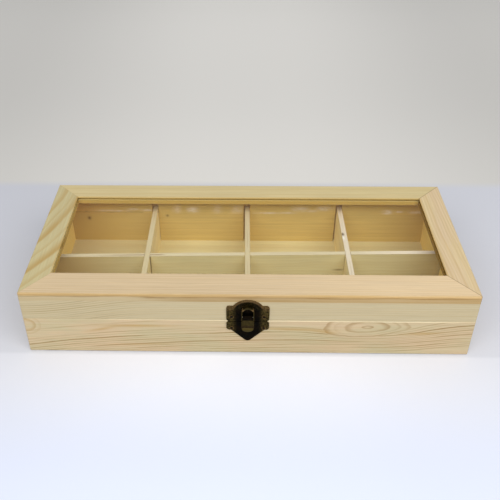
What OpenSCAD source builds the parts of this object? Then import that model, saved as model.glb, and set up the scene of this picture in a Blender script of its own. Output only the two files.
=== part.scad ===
// Tea bag box: a low pine box with a hinged lid, a clear window held in a mitred frame,
// half-lapped plywood dividers that make eight compartments, and a stamped bronze latch.
// Millimetres. +Z is up, the front faces -Y, and the origin is the middle of the underside.

/* [Box] */
// Outside width of the box, left to right
box_w = 325; // [260:1:420]
// Outside depth of the box, front to back
box_d = 145; // [120:1:220]
// Height of the base, from the table to the parting line
base_h = 32; // [26:1:60]
// Height of the lid's wall boards, from the parting line to the window frame
lid_wall_h = 17.5; // [15:0.5:40]
// Thickness of every wall board
wall_t = 8.5; // [7:0.5:12]
// Rounding of the four upright outside corners
corner_r = 1.2; // [0.4:0.1:2.4]
// Chamfer along the outside of the parting line
parting_ease = 0.4; // [0.1:0.1:0.8]
// Chamfer along the outside bottom edge
foot_ease = 0.6; // [0.2:0.1:1.2]

/* [Bottom panel] */
// Thickness of the plywood bottom, set flush in a rebate
bottom_t = 3.5; // [2.5:0.1:5]
// How far the rebate reaches in under each wall board
rebate_w = 5; // [3:0.5:6]
// Gap between the edge of the bottom and the side of its rebate
panel_gap = 0.2; // [0.1:0.1:0.6]
// Length of the brads that hold the bottom
brad_len = 12; // [9:1:18]
// Radius of a brad's shank
brad_r = 0.6; // [0.4:0.1:0.8]
// Radius of a brad's head
brad_head_r = 1.1; // [1:0.1:1.3]
// Thickness of a brad's head
brad_head_t = 0.4; // [0.3:0.1:0.8]
// Distance of the end brads from the outside corner
brad_inset = 30; // [20:1:45]

/* [Dividers] */
// Thickness of the plywood dividers
divider_t = 4; // [3:0.5:5]
// Height of the dividers above the floor
divider_h = 34.5; // [24:0.5:40]
// Middle of the long divider, measured forward from the middle of the box
long_divider_fwd = 1.1; // [-10:0.1:10]
// Degrees that the long divider stands out of square, its right end to the back
long_divider_turn = 1.5; // [0:0.1:2]
// How far the left and right cross dividers stand outside an even split of the width
cross_spread = 1.4; // [-4:0.1:4]
// Depth of the upright grooves in the wall boards that take the dividers' ends
slot_d = 4; // [2:0.1:4.5]
// Play of a divider in its groove, on its left or front
slot_play = 1.2; // [0.6:0.1:1.6]
// Play of a divider in its groove, on its right or back
slot_snug = 0.2; // [0.1:0.05:0.8]
// Play on each side of a board in its half-lap slot
lap_play = 0.25; // [0.1:0.05:0.5]
// Gap between a divider's end and the bottom of its groove
end_gap = 0.5; // [0.3:0.1:1]

/* [Window frame] */
// Thickness of the frame's rails
rail_t = 6.5; // [5.5:0.1:9]
// Width of the front rail
front_rail_w = 23.5; // [16:0.5:28]
// Width of the back rail
back_rail_w = 19.5; // [16:0.5:28]
// Width of the left and right rails
side_rail_w = 19.5; // [16:0.5:28]
// Rounding of the rails' outer top edge
rail_outer_r = 1; // [0.4:0.1:1.6]
// Rounding of the rails' inner top edge
rail_inner_r = 0.5; // [0.2:0.1:0.9]
// Wood left above the pane
lip_t = 1.4; // [1.1:0.1:2]
// Thickness of the clear pane
pane_t = 1.6; // [1:0.1:2.4]
// Depth of the groove that holds the pane
groove_d = 5; // [3:0.5:7]
// Play above and below the pane in its groove
pane_play = 0.1; // [0.05:0.05:0.3]
// Gap between the pane's edge and the groove's end
pane_edge_gap = 0.5; // [0.2:0.1:1]

/* [Hinges] */
// Distance from the end of the box to the middle of a hinge
hinge_inset = 62; // [45:1:90]
// Length of a hinge along its pin
leaf_w = 25; // [20:1:34]
// Height of one hinge leaf, from the pin's axis
leaf_h = 13; // [11:0.5:15]
// Thickness of a hinge leaf
leaf_t = 0.9; // [0.6:0.1:1.1]
// Rounding of a leaf's free corners
leaf_corner_r = 2; // [0.5:0.5:3]
// Outer radius of a hinge knuckle
knuckle_r = 1.6; // [1.4:0.1:1.9]
// Radius of the hinge pin
hinge_pin_r = 0.75; // [0.6:0.05:0.9]
// Radius of the peened ends of the hinge pin
pin_end_r = 1.2; // [1.1:0.1:1.4]
// Thickness of the peened ends of the hinge pin
pin_end_t = 0.5; // [0.3:0.1:0.8]
// Gap between the hinge barrel and the wood behind it
barrel_gap = 0.3; // [0.2:0.1:0.6]
// Gap between two knuckles along the pin
knuckle_gap = 0.2; // [0.15:0.05:0.4]
// Nails of a leaf: distance from the hinge's middle
leaf_nail_x = 8; // [6:0.5:9]
// Nails of a leaf: distance from the pin's axis
leaf_nail_z = 8; // [6:0.5:9]

/* [Nails] */
// Length of the nails that hold the hinges and the latch
nail_len = 5; // [4:0.5:6.5]
// Radius of a nail's shank
nail_r = 0.6; // [0.4:0.05:0.7]
// Radius of a nail's domed head
nail_head_r = 1; // [0.95:0.05:1.3]
// Height of a nail's domed head
nail_head_h = 0.3; // [0.2:0.05:0.6]
// Clearance round a shank in its hole
shank_play = 0.05; // [0.02:0.01:0.1]

/* [Latch plates] */
// Thickness of the stamped plates
plate_t = 0.7; // [0.5:0.1:1]
// Width of the plates across their ears
latch_w = 30.7; // [28:0.1:36]
// Gap between the parting line and each plate
plate_gap = 0.2; // [0.1:0.05:0.6]
// Height of the upper plate's ears above the parting line
ear_up = 14.2; // [12.5:0.1:16]
// Depth of the lower plate's ears below the parting line
ear_down = 8.2; // [7.4:0.1:9]
// Rounding of the ears' corners
ear_r = 2.2; // [0.8:0.1:2.6]
// Radius of the arched top
arch_r = 12.8; // [11:0.1:14]
// Top of the arch above the parting line
arch_top = 19.6; // [18:0.1:21.5]
// Width of the raised bead round the arch
bead_w = 1.8; // [1.2:0.1:2.4]
// Height of the raised bead and of the rings round the nails
bead_h = 0.35; // [0.2:0.05:0.5]
// Width of the slope on each side of the bead
bead_slope = 0.4; // [0.2:0.05:0.5]
// Tip of the lower plate below the parting line
tip_down = 18.8; // [17:0.1:20]
// Rounding of the tip
tip_r = 3; // [2:0.5:4]
// Half width of the lower plate where its taper starts
taper_x = 12; // [10:0.5:12.5]
// Nails of the latch: distance from the latch's middle
latch_nail_x = 11.6; // [10.5:0.1:13]
// Nails of the upper plate: height above the parting line
upper_nail_z = 4.3; // [3.8:0.1:8]
// Nails of the lower plate: depth below the parting line
lower_nail_z = 6.4; // [3:0.1:6.4]
// Outer radius of the raised ring round a nail
ring_r = 1.7; // [1.6:0.1:1.8]

/* [Latch tongue] */
// Outside width of the arched hood on the upper plate
hood_w = 9.2; // [9:0.1:11]
// Thickness of the hood's wall
hood_wall = 0.7; // [0.5:0.1:1]
// Extra thickness of the hood's wall at its crown
hood_crown = 0.6; // [0:0.1:1]
// How far the hood stands out from the wood
hood_out = 3.8; // [3.7:0.1:4.6]
// Top of the hood above the parting line
hood_top = 15.1; // [13.6:0.1:15.6]
// Lower end of the hood's cheeks above the parting line
hood_low = 3; // [2.6:0.1:3.6]
// Height of the tongue's pin above the parting line
tongue_pin_z = 5.4; // [5:0.1:6]
// Radius of the tongue's pin
tongue_pin_r = 0.5; // [0.4:0.05:0.6]
// Outer radius of the tongue's rolled knuckle
roll_r = 1.1; // [1:0.05:1.2]
// Gap between the knuckle and the plate behind it
roll_gap = 0.3; // [0.25:0.05:0.5]
// Width of the tongue
tongue_w = 9; // [8:0.1:10]
// Thickness of the tongue
tongue_t = 0.8; // [0.6:0.1:1]
// End of the tongue below the parting line
tongue_down = 7.7; // [7.2:0.1:9.6]
// Width of the tongue's raised border
border_w = 0.6; // [0.4:0.1:1]
// Height of the tongue's raised border
border_h = 0.5; // [0.3:0.1:0.7]
// Radius of the rolled finger lip at the tongue's end
lip_r = 1.6; // [1.3:0.1:1.9]
// Gap between the tongue's neck and the hood's cheeks
tongue_gap = 0.35; // [0.25:0.05:0.5]
// Gap between the tongue's shoulders and the cheeks' corners as the tongue swings
swing_clear = 0.2; // [0.1:0.05:0.4]
// Radius of the catch ridge on the lower plate
catch_r = 1.1; // [0.9:0.05:1.2]
// Length of the catch ridge
catch_len = 5.5; // [4:0.5:7]
// Middle of the catch ridge below the parting line
catch_down = 5.2; // [4.6:0.1:5.8]
// Clearance between the catch and the tongue's inner ridge
catch_gap = 0.3; // [0.2:0.05:0.5]
// Depth that the catch ridge's middle is sunk below the plate's face
catch_sunk = 0.1; // [0:0.05:0.2]
// Radius of the tongue's inner ridge
ridge_r = 0.9; // [0.7:0.05:1]
// How far the inner ridge sits below the catch with the tongue shut
ridge_under = 1.7; // [1.6:0.05:1.9]
// How far the finger lip's roll keeps back from the tongue's end
lip_back = 0.2; // [0.1:0.05:0.4]

/* [Hidden] */
$fn = 48;

// Colours of the materials
pine = "#d8bd97";
pine_pale = "#d2c58f";
pine_warm = "#c8b27c";
ply = "#c9b077";
ply_edge = "#d9cfae";
bronze = "#3b3018";
steel = "#8c8a84";
clear = [0.9, 0.96, 0.96, 0.25];

// Small overrun of a cutting tool past the face that it cuts
over = 1;
// How far a mitre tool runs past its corners, as a share of the mitre's length
mitre_over = 0.3;
// Play of a pin in its bore
pin_play = 0.05;

half_w = box_w / 2;
half_d = box_d / 2;
inner_w = box_w - 2 * wall_t;
inner_d = box_d - 2 * wall_t;
frame_z = base_h + lid_wall_h;
top_z = frame_z + rail_t;
groove_top = top_z - lip_t;
groove_h = pane_t + 2 * pane_play;

// Hinge axis, behind the back wall at the height of the parting line
axis_out = barrel_gap + knuckle_r;
hinge_y = half_d + axis_out;
hinge_x = half_w - hinge_inset;
knuckles = 5;
knuckle_len = (leaf_w - (knuckles - 1) * knuckle_gap) / knuckles;
knuckle_pitch = knuckle_len + knuckle_gap;
// Each leaf stops short of the axis plane by this much
leaf_edge = 0.2;

// Dividers: places, and how far the front ends draw back to miss the lid's grooves as it lifts
floor_z = bottom_t;
divider_top = floor_z + divider_h;
divider_rise = max(0, divider_top - base_h);
slot_w = divider_t + slot_play + slot_snug;
slot_shift = (slot_play - slot_snug) / 2;
swing_r = hinge_y + inner_d / 2 + slot_d;
swing_gap = swing_r - sqrt(swing_r * swing_r - divider_rise * divider_rise);
cross_pitch = (inner_w + divider_t) / 4 + cross_spread;
cross_x = [-cross_pitch, 0, cross_pitch];
front_slots = [for (x = cross_x) x - slot_shift];
back_slots = [for (x = cross_x) x + slot_shift];
turn_shift = tan(long_divider_turn) * (inner_w + slot_d) / 2;
left_slot = long_divider_fwd + turn_shift + slot_shift;
right_slot = turn_shift - long_divider_fwd - slot_shift;
lap_z = floor_z + divider_h / 2;

// Brads: two on each end, and four along each side, clear of the grooves
brad_line = wall_t - rebate_w / 2;
brads_long = 4;
brads_short = 2;

// Latch: its parts are drawn flat, X to the right, Y up from the parting line, Z out of the wood
hood_cy = hood_top - hood_w / 2;
pin_out = plate_t + roll_gap + roll_r;
tongue_back = pin_out + roll_r - tongue_t;
tongue_face = pin_out + roll_r;
// The tongue's shoulders swing just outside the lower front corners of the cheeks
cheek_corner_r = norm([tongue_pin_z - hood_low, hood_out - pin_out]);
tongue_top = tongue_pin_z - cheek_corner_r - swing_clear;
catch_out = plate_t - catch_sunk;
ridge_out = catch_out + catch_r + catch_gap + ridge_r;
ridge_down = catch_down + ridge_under;
lip_down = tongue_down - lip_r - lip_back;
arch_cy = arch_top - arch_r;

// Lower plate: direction from the tip's centre to where the taper touches its rounding
taper_run = tip_down - tip_r - ear_down;
taper_slant = sqrt(taper_x * taper_x + taper_run * taper_run);
taper_angle = asin(tip_r / taper_slant) - atan2(taper_x, taper_run);
taper_cos = cos(taper_angle);
taper_sin = -sin(taper_angle);

// Flat shapes

// Rectangle from the origin with four round corners
module round_rect(w, h, r) {
    translate([r, 0])
        square([w - 2 * r, h]);
    translate([0, r])
        square([w, h - 2 * r]);
    for (x = [r, w - r], y = [r, h - r])
        translate([x, y])
            circle(r);
}

// What a rounding of radius r takes off a square corner that points to -X +Y from the origin
module round_off(r) {
    difference() {
        translate([-over, -r])
            square([r + over, r + over]);
        translate([r, -r])
            circle(r);
    }
}

// What a chamfer of size c takes off a square corner that points to -X -Y from the origin
module chamfer_off(c) {
    polygon([[-over, -over], [c + over, -over], [-over, c + over]]);
}

// Boards mitred round a rectangle

// Profile drawn as X inward from the outside face and Y up, run along one side of the box
module run_along(length) {
    rotate([90, 0, 90])
        linear_extrude(length, center = true)
            children();
}

// Keeps what lies between the two mitres of the side that is w wide, between neighbours w_l and w_r wide
module mitred(length, w, w_l, w_r, z0, z1) {
    half = length / 2;
    out = mitre_over;
    in = 1 + mitre_over;
    intersection() {
        children();
        translate([0, 0, z0 - over])
            linear_extrude(z1 - z0 + 2 * over)
                polygon([
                    [-half - out * w_l, -out * w],
                    [half + out * w_r, -out * w],
                    [half - in * w_r, in * w],
                    [-half + in * w_l, in * w],
                ]);
    }
}

// Rounds the two upright outside corners of a side
module corners_rounded(length, z0, z1) {
    difference() {
        children();
        for (side = [-1, 1])
            translate([side * length / 2, 0, z0 - over])
                mirror([side > 0 ? 1 : 0, 0, 0])
                    mirror([0, 1, 0])
                        linear_extrude(z1 - z0 + 2 * over)
                            round_off(corner_r);
    }
}

// Puts a side that was made with its outside face on y = 0 in its place round the box
module on_front() { translate([0, -half_d, 0]) children(); }
module on_back() { rotate([0, 0, 180]) on_front() children(); }
module on_left() { rotate([0, 0, -90]) translate([0, -half_w, 0]) children(); }
module on_right() { rotate([0, 0, 90]) translate([0, -half_w, 0]) children(); }

// Cuts the upright grooves at the places in slots into the inside face of a board
module grooved(slots, z0, z1) {
    difference() {
        children();
        for (x = slots)
            translate([x - slot_w / 2, wall_t - slot_d, z0 - over])
                cube([slot_w, slot_d + over, z1 - z0 + 2 * over]);
    }
}

// One board of the base, with the rebate for the bottom, its brad holes and its grooves
module base_board(length, brads, slots) {
    grooved(slots, 0, base_h)
        difference() {
            corners_rounded(length, 0, base_h)
                mitred(length, wall_t, wall_t, wall_t, 0, base_h)
                    run_along(length + 2 * over)
                        difference() {
                            square([wall_t, base_h]);
                            translate([wall_t - rebate_w, -over])
                                square([rebate_w + over, bottom_t + over]);
                            chamfer_off(foot_ease);
                            translate([0, base_h])
                                mirror([0, 1])
                                    chamfer_off(parting_ease);
                        }
            brad_row(length, brads)
                cylinder(r = brad_r + shank_play, h = brad_len + over);
        }
}

// Copies its child to each brad of a side, on the underside of the bottom
module brad_row(length, brads) {
    step = (length - 2 * brad_inset) / (brads - 1);
    for (i = [0 : brads - 1])
        translate([-length / 2 + brad_inset + i * step, brad_line, 0])
            children();
}

// One board of the lid's walls, with its grooves
module lid_board(length, slots) {
    grooved(slots, base_h, frame_z)
        corners_rounded(length, base_h, frame_z)
            mitred(length, wall_t, wall_t, wall_t, base_h, frame_z)
                run_along(length + 2 * over)
                    translate([0, base_h])
                        difference() {
                            square([wall_t, lid_wall_h]);
                            chamfer_off(parting_ease);
                        }
}

// One rail of the window frame: round outer and inner top edges, and a groove for the pane
module rail(length, w, w_l, w_r) {
    corners_rounded(length, frame_z, top_z)
        mitred(length, w, w_l, w_r, frame_z, top_z)
            run_along(length + 2 * over)
                difference() {
                    translate([0, frame_z])
                        square([w, rail_t]);
                    translate([w - groove_d, groove_top - groove_h])
                        square([groove_d + over, groove_h]);
                    translate([0, top_z])
                        round_off(rail_outer_r);
                    translate([w, top_z])
                        mirror([1, 0])
                            round_off(rail_inner_r);
                }
}

// Base

module base_front_wall() {
    color(pine_pale)
        difference() {
            on_front() base_board(box_w, brads_long, front_slots);
            latch_nails_at(-lower_nail_z) nail_bore();
        }
}

module base_back_wall() {
    color(pine_warm)
        difference() {
            on_back() base_board(box_w, brads_long, back_slots);
            hinge_nails_at(-leaf_nail_z) nail_bore();
        }
}

module base_left_wall() {
    color(pine_warm) on_left() base_board(box_d, brads_short, [left_slot]);
}

module base_right_wall() {
    color(pine) on_right() base_board(box_d, brads_short, [right_slot]);
}

// Copies its child to every brad, round all four sides
module all_brads() {
    on_front() brad_row(box_w, brads_long) children();
    on_back() brad_row(box_w, brads_long) children();
    on_left() brad_row(box_d, brads_short) children();
    on_right() brad_row(box_d, brads_short) children();
}

module base_bottom_panel() {
    panel_w = inner_w + 2 * (rebate_w - panel_gap);
    panel_d = inner_d + 2 * (rebate_w - panel_gap);
    color(ply)
        difference() {
            translate([-panel_w / 2, -panel_d / 2, 0])
                cube([panel_w, panel_d, bottom_t]);
            all_brads() {
                translate([0, 0, -over])
                    cylinder(r = brad_r + shank_play, h = bottom_t + 2 * over);
                translate([0, 0, -over])
                    cylinder(r = brad_head_r + shank_play, h = brad_head_t + over);
            }
        }
}

module bottom_brads() {
    color(steel)
        all_brads() {
            cylinder(r = brad_head_r, h = brad_head_t);
            cylinder(r = brad_r, h = brad_len);
        }
}

// Dividers: the long one is slotted from the top, the cross ones from the bottom

// Board as long and thick as given, from the height z0 up, where the long divider stands
module long_board(length, t, z0, h) {
    translate([0, -long_divider_fwd, z0])
        rotate([0, 0, long_divider_turn])
            translate([-length / 2, -t / 2, 0])
                cube([length, t, h]);
}

module long_divider() {
    span = inner_w + 2 * (slot_d - end_gap);
    length = (span - divider_t * sin(long_divider_turn)) / cos(long_divider_turn);
    color(ply_edge)
        difference() {
            long_board(length, divider_t, floor_z, divider_h);
            for (x = cross_x)
                translate([x - divider_t / 2 - lap_play, -half_d, lap_z])
                    cube([divider_t + 2 * lap_play, box_d, divider_h]);
        }
}

module cross_divider(x) {
    front = -inner_d / 2 - slot_d + end_gap + swing_gap;
    back = inner_d / 2 + slot_d - end_gap;
    color(ply_edge)
        difference() {
            translate([x - divider_t / 2, front, floor_z])
                cube([divider_t, back - front, divider_h]);
            long_board(box_w, divider_t + 2 * lap_play, floor_z - over, divider_h / 2 + over);
        }
}

module cross_divider_left() { cross_divider(cross_x[0]); }
module cross_divider_centre() { cross_divider(cross_x[1]); }
module cross_divider_right() { cross_divider(cross_x[2]); }

// Lid

module lid_front_wall() {
    color(pine_pale)
        difference() {
            on_front() lid_board(box_w, front_slots);
            latch_nails_at(upper_nail_z) nail_bore();
        }
}

module lid_back_wall() {
    color(pine_warm)
        difference() {
            on_back() lid_board(box_w, back_slots);
            hinge_nails_at(leaf_nail_z) nail_bore();
        }
}

module lid_left_wall() { color(pine_warm) on_left() lid_board(box_d, [left_slot]); }
module lid_right_wall() { color(pine) on_right() lid_board(box_d, [right_slot]); }

module frame_front_rail() {
    color(pine) on_front() rail(box_w, front_rail_w, side_rail_w, side_rail_w);
}

module frame_back_rail() {
    color(pine_pale) on_back() rail(box_w, back_rail_w, side_rail_w, side_rail_w);
}

module frame_left_rail() {
    color(pine_warm) on_left() rail(box_d, side_rail_w, back_rail_w, front_rail_w);
}

module frame_right_rail() {
    color(pine) on_right() rail(box_d, side_rail_w, front_rail_w, back_rail_w);
}

// The pane fills the window and reaches into the grooves on all four sides
module window_pane() {
    reach = groove_d - pane_edge_gap;
    pane_x = half_w - side_rail_w + reach;
    pane_front = -half_d + front_rail_w - reach;
    pane_back = half_d - back_rail_w + reach;
    color(clear)
        translate([-pane_x, pane_front, groove_top - groove_h + pane_play])
            cube([2 * pane_x, pane_back - pane_front, pane_t]);
}

// Nails

// Nail drawn with its head on z = 0 and its point towards -Z
module nail() {
    dome_r = (nail_head_r * nail_head_r + nail_head_h * nail_head_h) / (2 * nail_head_h);
    translate([0, 0, -nail_len])
        cylinder(r = nail_r, h = nail_len + nail_head_h / 2);
    intersection() {
        translate([0, 0, nail_head_h - dome_r])
            sphere(r = dome_r);
        cylinder(r = nail_head_r, h = nail_head_h + over);
    }
}

// Hole for a nail's shank, through a plate and into the wood
module nail_bore() {
    translate([0, 0, -nail_len - over])
        cylinder(r = nail_r + shank_play, h = nail_len + 2 * over);
}

// Hinges: local X along the pin, Y out of the back, Z up, origin on the axis

module at_hinge(side) {
    translate([side * hinge_x, hinge_y, base_h])
        children();
}

// Copies its child to the two nails of one leaf, z above the axis, on the leaf's outside face
module leaf_nails(z) {
    for (x = [-leaf_nail_x, leaf_nail_x])
        translate([x, leaf_t - axis_out, z])
            rotate([-90, 0, 0])
                children();
}

// Both hinges' nails, z above the parting line
module hinge_nails_at(z) {
    for (side = [-1, 1])
        at_hinge(side) leaf_nails(z) children();
}

// The knuckles of one leaf, even or odd along the pin
module knuckle_set(first, r, extra) {
    for (i = [first : 2 : knuckles - 1])
        translate([-leaf_w / 2 + i * knuckle_pitch - extra, 0, 0])
            rotate([0, 90, 0])
                cylinder(r = r, h = knuckle_len + 2 * extra);
}

// One leaf: up is 1 for the lid's leaf and -1 for the base's
module leaf(up, first) {
    difference() {
        union() {
            difference() {
                translate([0, -axis_out, 0])
                    rotate([90, 0, 0])
                        mirror([0, up > 0 ? 0 : 1, 0])
                            translate([-leaf_w / 2, 0, -leaf_t])
                                linear_extrude(leaf_t)
                                    leaf_outline();
                knuckle_set(1 - first, knuckle_r + barrel_gap, knuckle_gap);
            }
            knuckle_set(first, knuckle_r, 0);
        }
        translate([-leaf_w / 2 - over, 0, 0])
            rotate([0, 90, 0])
                cylinder(r = hinge_pin_r + pin_play, h = leaf_w + 2 * over);
        leaf_nails(up * leaf_nail_z) nail_bore();
    }
}

// Leaf in the flat: square at the barrel, round at its free corners
module leaf_outline() {
    translate([0, leaf_edge])
        square([leaf_w, leaf_h / 2]);
    translate([0, leaf_edge])
        round_rect(leaf_w, leaf_h - leaf_edge, leaf_corner_r);
}

module hinge_pin() {
    translate([-leaf_w / 2, 0, 0])
        rotate([0, 90, 0])
            cylinder(r = hinge_pin_r, h = leaf_w);
    for (side = [-1, 1])
        translate([side * (leaf_w + pin_end_t) / 2, 0, 0])
            rotate([0, 90, 0])
                cylinder(r = pin_end_r, h = pin_end_t, center = true);
}

module hinge_base_leaf_left() { color(bronze) at_hinge(-1) leaf(-1, 0); }
module hinge_base_leaf_right() { color(bronze) at_hinge(1) leaf(-1, 0); }
module hinge_lid_leaf_left() { color(bronze) at_hinge(-1) leaf(1, 1); }
module hinge_lid_leaf_right() { color(bronze) at_hinge(1) leaf(1, 1); }
module hinge_pin_left() { color(steel) at_hinge(-1) hinge_pin(); }
module hinge_pin_right() { color(steel) at_hinge(1) hinge_pin(); }
module hinge_base_nails() { color(bronze) hinge_nails_at(-leaf_nail_z) nail(); }
module hinge_lid_nails() { color(bronze) hinge_nails_at(leaf_nail_z) nail(); }

// Latch: drawn flat and stood up on the front of the box

module on_latch() {
    translate([0, -half_d, base_h])
        rotate([90, 0, 0])
            children();
}

// Copies its child to the two nails of one plate, y above the parting line, on the plate's face
module latch_nails_at(y) {
    on_latch()
        for (x = [-latch_nail_x, latch_nail_x])
            translate([x, y, plate_t])
                children();
}

// Ring stamped up round each of a plate's nails
module nail_rings(y) {
    for (x = [-latch_nail_x, latch_nail_x])
        translate([x, y, 0])
            difference() {
                cylinder(r = ring_r, h = plate_t + bead_h);
                translate([0, 0, plate_t])
                    cylinder(r = nail_head_r + shank_play, h = bead_h + over);
            }
}

// Nail holes of a plate
module nail_holes(y) {
    for (x = [-latch_nail_x, latch_nail_x])
        translate([x, y, -over])
            cylinder(r = nail_r + shank_play, h = plate_t + 2 * over);
}

module upper_outline() {
    translate([-latch_w / 2, plate_gap])
        round_rect(latch_w, ear_up - plate_gap, ear_r);
    intersection() {
        translate([0, arch_cy])
            circle(arch_r, $fn = 96);
        translate([-arch_r - over, arch_cy])
            square([2 * (arch_r + over), arch_r + over]);
    }
}

// Bead with sloping sides that runs along the arch, above the ears
module arch_bead() {
    intersection() {
        translate([0, arch_cy, plate_t])
            difference() {
                cylinder(r1 = arch_r, r2 = arch_r - bead_slope, h = bead_h, $fn = 96);
                cylinder(r1 = arch_r - bead_w, r2 = arch_r - bead_w + bead_slope, h = bead_h, $fn = 96);
            }
        translate([-arch_r, ear_up - ear_r, 0])
            cube([2 * arch_r, arch_top, plate_t + bead_h]);
    }
}

// The hood in the flat: round above, straight cheeks below, drawn in by inset and let down by drop
module hood_outline(inset, drop, low) {
    half = hood_w / 2 - inset;
    translate([0, hood_cy - drop])
        circle(half);
    translate([-half, low])
        square([2 * half, hood_cy - drop - low]);
}

module latch_upper_plate() {
    color(bronze)
        on_latch()
            difference() {
                union() {
                    linear_extrude(plate_t)
                        upper_outline();
                    arch_bead();
                    linear_extrude(hood_out)
                        difference() {
                            hood_outline(0, 0, hood_low);
                            hood_outline(hood_wall, hood_crown, hood_low - over);
                        }
                    nail_rings(upper_nail_z);
                }
                nail_holes(upper_nail_z);
                tongue_pin_rod(tongue_pin_r + pin_play, hood_w + 2 * over);
            }
}

// Rod on the tongue's axis
module tongue_pin_rod(r, length) {
    translate([0, tongue_pin_z, pin_out])
        rotate([0, 90, 0])
            cylinder(r = r, h = length, center = true);
}

module latch_pin() {
    color(steel) on_latch() tongue_pin_rod(tongue_pin_r, hood_w);
}

// The tongue in the flat: square shoulders under the hood at top, and a half-round end
module tongue_outline(inset, top) {
    half = tongue_w / 2 - inset;
    end_y = tongue_w / 2 - tongue_down;
    translate([0, end_y])
        circle(half);
    translate([-half, end_y])
        square([2 * half, top - end_y]);
}

module latch_tongue() {
    neck_w = hood_w - 2 * hood_wall - 2 * tongue_gap;
    color(bronze)
        on_latch()
            difference() {
                union() {
                    // Flat of the tongue, and the border down its sides and round its end
                    translate([0, 0, tongue_back])
                        linear_extrude(tongue_t)
                            tongue_outline(0, tongue_top);
                    translate([0, 0, tongue_back])
                        linear_extrude(tongue_t + border_h)
                            difference() {
                                tongue_outline(0, tongue_top);
                                tongue_outline(border_w, tongue_top + over);
                            }
                    // Neck that runs up into the hood, rolled round the pin
                    translate([-neck_w / 2, tongue_top - tongue_t, tongue_back])
                        cube([neck_w, tongue_pin_z - tongue_top + tongue_t, tongue_t]);
                    tongue_pin_rod(roll_r, neck_w);
                    // Rolled finger lip, trimmed to the half-round end
                    intersection() {
                        translate([0, -lip_down, tongue_face - lip_r / 2])
                            rotate([0, 90, 0])
                                cylinder(r = lip_r, h = tongue_w, center = true);
                        translate([0, 0, tongue_back])
                            linear_extrude(2 * lip_r + over)
                                tongue_outline(0, tongue_top);
                    }
                    // Inner ridge that snaps under the catch
                    intersection() {
                        translate([0, -ridge_down, ridge_out])
                            rotate([0, 90, 0])
                                cylinder(r = ridge_r, h = catch_len, center = true);
                        linear_extrude(tongue_face)
                            tongue_outline(0, tongue_top);
                    }
                }
                tongue_pin_rod(tongue_pin_r + pin_play, neck_w + 2 * over);
            }
}

// The lower plate in the flat: ears, a taper and a round tip
module lower_outline() {
    tip_y = tip_r - tip_down;
    translate([-latch_w / 2, -ear_down])
        round_rect(latch_w, ear_down - plate_gap, ear_r);
    translate([0, tip_y])
        circle(tip_r);
    polygon([
        [-taper_x, -ear_down / 2],
        [-taper_x, -ear_down],
        [-tip_r * taper_cos, tip_y - tip_r * taper_sin],
        [tip_r * taper_cos, tip_y - tip_r * taper_sin],
        [taper_x, -ear_down],
        [taper_x, -ear_down / 2],
    ]);
}

module latch_lower_plate() {
    color(bronze)
        on_latch()
            difference() {
                union() {
                    linear_extrude(plate_t)
                        lower_outline();
                    nail_rings(-lower_nail_z);
                    // Catch ridge, half sunk in the plate
                    intersection() {
                        translate([0, -catch_down, catch_out])
                            rotate([0, 90, 0])
                                cylinder(r = catch_r, h = catch_len, center = true);
                        linear_extrude(plate_t + 2 * catch_r)
                            lower_outline();
                    }
                }
                nail_holes(-lower_nail_z);
            }
}

module latch_upper_nails() { color(bronze) latch_nails_at(upper_nail_z) nail(); }
module latch_lower_nails() { color(bronze) latch_nails_at(-lower_nail_z) nail(); }

base_front_wall();
base_back_wall();
base_left_wall();
base_right_wall();
base_bottom_panel();
bottom_brads();
long_divider();
cross_divider_left();
cross_divider_centre();
cross_divider_right();
hinge_base_leaf_left();
hinge_base_leaf_right();
hinge_pin_left();
hinge_pin_right();
hinge_base_nails();
latch_lower_plate();
latch_lower_nails();
lid_front_wall();
lid_back_wall();
lid_left_wall();
lid_right_wall();
frame_front_rail();
frame_back_rail();
frame_left_rail();
frame_right_rail();
window_pane();
hinge_lid_leaf_left();
hinge_lid_leaf_right();
hinge_lid_nails();
latch_upper_plate();
latch_pin();
latch_upper_nails();
latch_tongue();
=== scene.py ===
"""Looks of a pine tea bag box with a window lid: finishes, table, sky, lamp and camera."""

import math

import bpy
from bpy.props import FloatProperty, FloatVectorProperty, PointerProperty
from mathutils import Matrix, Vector


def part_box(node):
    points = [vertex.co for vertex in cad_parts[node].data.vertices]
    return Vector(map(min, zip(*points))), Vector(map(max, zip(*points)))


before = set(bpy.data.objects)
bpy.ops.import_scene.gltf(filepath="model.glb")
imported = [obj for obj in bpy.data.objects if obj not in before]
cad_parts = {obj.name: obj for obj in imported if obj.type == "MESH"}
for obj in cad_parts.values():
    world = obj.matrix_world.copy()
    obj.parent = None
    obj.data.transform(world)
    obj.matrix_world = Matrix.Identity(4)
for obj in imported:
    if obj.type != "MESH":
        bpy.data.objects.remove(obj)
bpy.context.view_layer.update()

bl_info = {
    "name": "Tea Bag Box Looks",
    "version": (1, 0, 0),
    "blender": (4, 5, 0),
    "location": "View3D > Sidebar > Tea Box",
    "description": "Finishes, table, lamp and camera for a pine tea bag box with a window lid",
    "category": "Object",
}

MM = 0.001

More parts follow.
